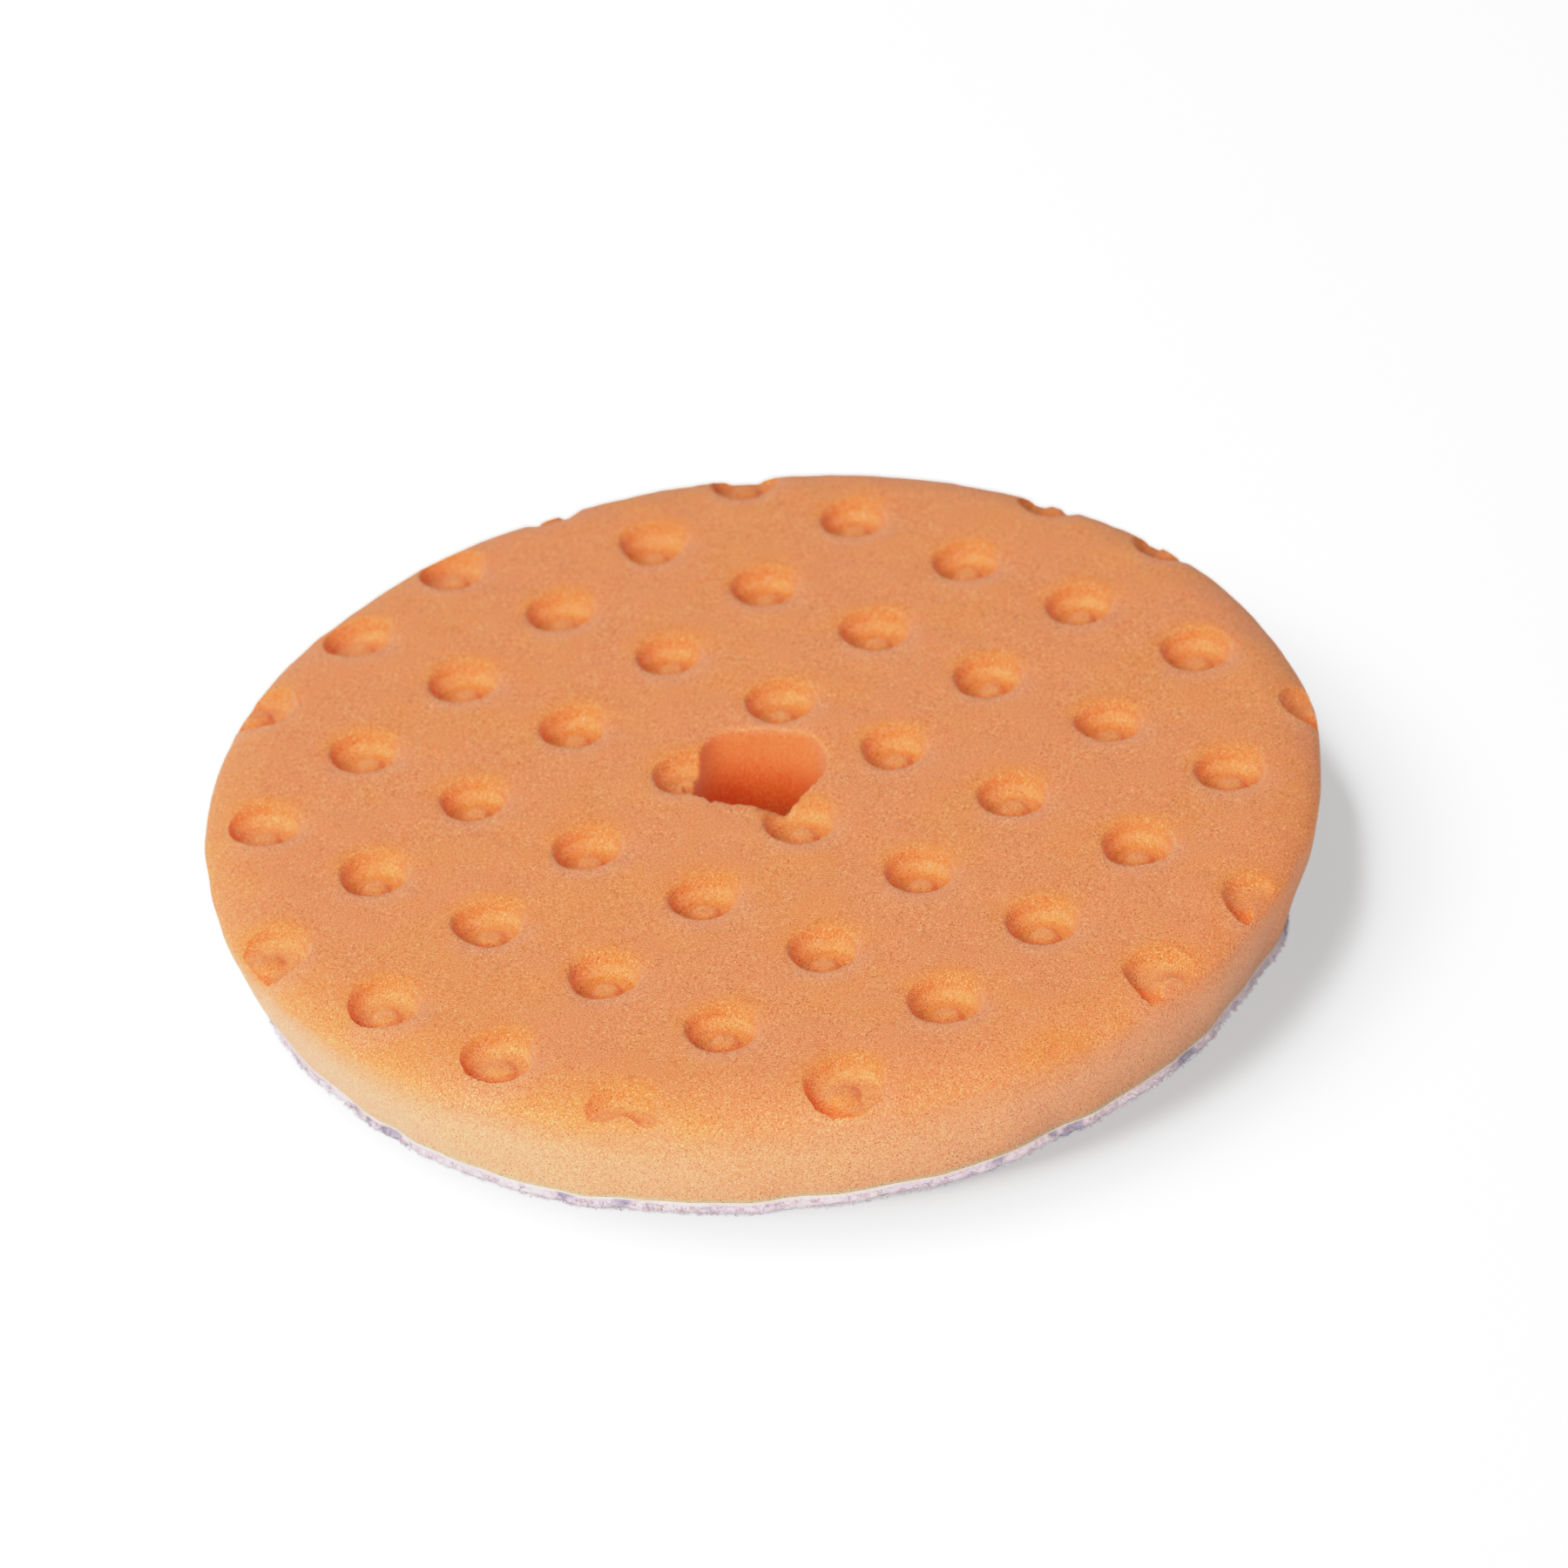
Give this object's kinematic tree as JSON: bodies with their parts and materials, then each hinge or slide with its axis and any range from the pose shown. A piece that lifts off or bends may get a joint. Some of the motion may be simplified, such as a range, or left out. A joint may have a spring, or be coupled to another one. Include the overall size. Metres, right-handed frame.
{
  "type": "polishing pad",
  "caption": "Low-profile round foam polishing pad with a dimpled working face, a centring hole and a loop backing for a hook-faced backing plate.",
  "frame": {"origin": "centre of the loop pile's underside, on the pad's axis", "axes": "+Z along the pad's axis, from the loop backing towards the working face; +X and +Y across the pad, with the pocket grid turned 43.3 degrees clockwise from +X"},
  "size_m": [0.165, 0.165, 0.022],
  "materials": {
    "foam": "matte open-cell polyurethane foam, orange, fine even cells",
    "adhesive": "thin pale hot-melt bond line, satin",
    "backing_cloth": "off-white warp-knit ground cloth",
    "loop_pile": "brushed loop pile, off-white to pale lilac with grey smudges"
  },
  "bodies": {
    "root": {"loop_pile": "loop_pile", "backing_cloth": "backing_cloth", "adhesive_film": "adhesive", "foam_disc": "foam"}
  },
  "joints": []
}
